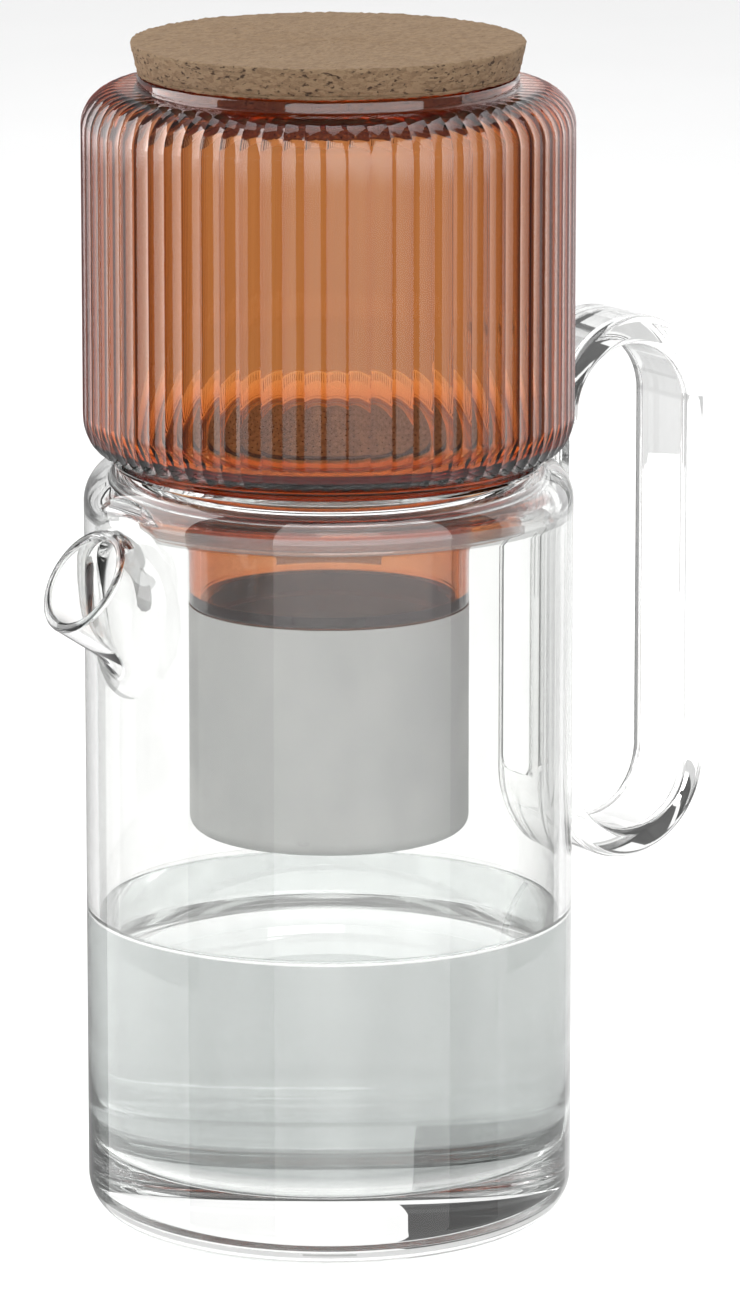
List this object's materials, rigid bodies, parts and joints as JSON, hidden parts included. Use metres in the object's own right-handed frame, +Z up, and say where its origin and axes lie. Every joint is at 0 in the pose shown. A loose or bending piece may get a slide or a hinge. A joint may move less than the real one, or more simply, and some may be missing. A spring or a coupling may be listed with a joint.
{
  "type": "cold brew coffee maker",
  "caption": "Clear glass carafe with spout and loop handle under a ribbed amber glass brewing chamber with a steel filter cup and a cork lid.",
  "frame": {"origin": "centre of the flat underside of the carafe", "axes": "+Z up along the axis of the carafe and the chamber, +X towards the loop handle, -X towards the spout"},
  "size_m": [0.1564, 0.1002, 0.244],
  "materials": {
    "clear_glass": "clear, fire polished",
    "amber_glass": "amber tinted, ribbed outside",
    "silicone": "translucent, soft",
    "filter_steel": "fine matt mesh",
    "plate_steel": "satin",
    "cork": "sanded agglomerated cork"
  },
  "bodies": {
    "carafe": {"carafe_body": "clear_glass", "carafe_spout": "clear_glass", "carafe_handle": "clear_glass"},
    "chamber": {"ribbed_chamber": "amber_glass", "chamber_neck": "amber_glass", "mouth_seal": "silicone", "filter_seal": "silicone"},
    "drip_plate": {"drip_plate": "plate_steel"},
    "filter": {"filter_rim": "filter_steel", "filter_sleeve": "filter_steel", "filter_base": "filter_steel"},
    "lid": {"cork_lid": "cork", "lid_seal": "silicone"}
  },
  "joints": [
    {"name": "chamber_lift", "type": "slide", "parent": "carafe", "child": "chamber", "axis": [0, 0, 1], "range_m": [0, 0.085]},
    {"name": "lid_lift", "type": "slide", "parent": "chamber", "child": "lid", "axis": [0, 0, 1], "range_m": [0, 0.03]},
    {"name": "plate_lift", "type": "slide", "parent": "chamber", "child": "drip_plate", "axis": [0, 0, 1], "range_m": [0, 0.06]},
    {"name": "filter_pull", "type": "slide", "parent": "chamber", "child": "filter", "axis": [0, 0, -1], "range_m": [0, 0.016]}
  ]
}
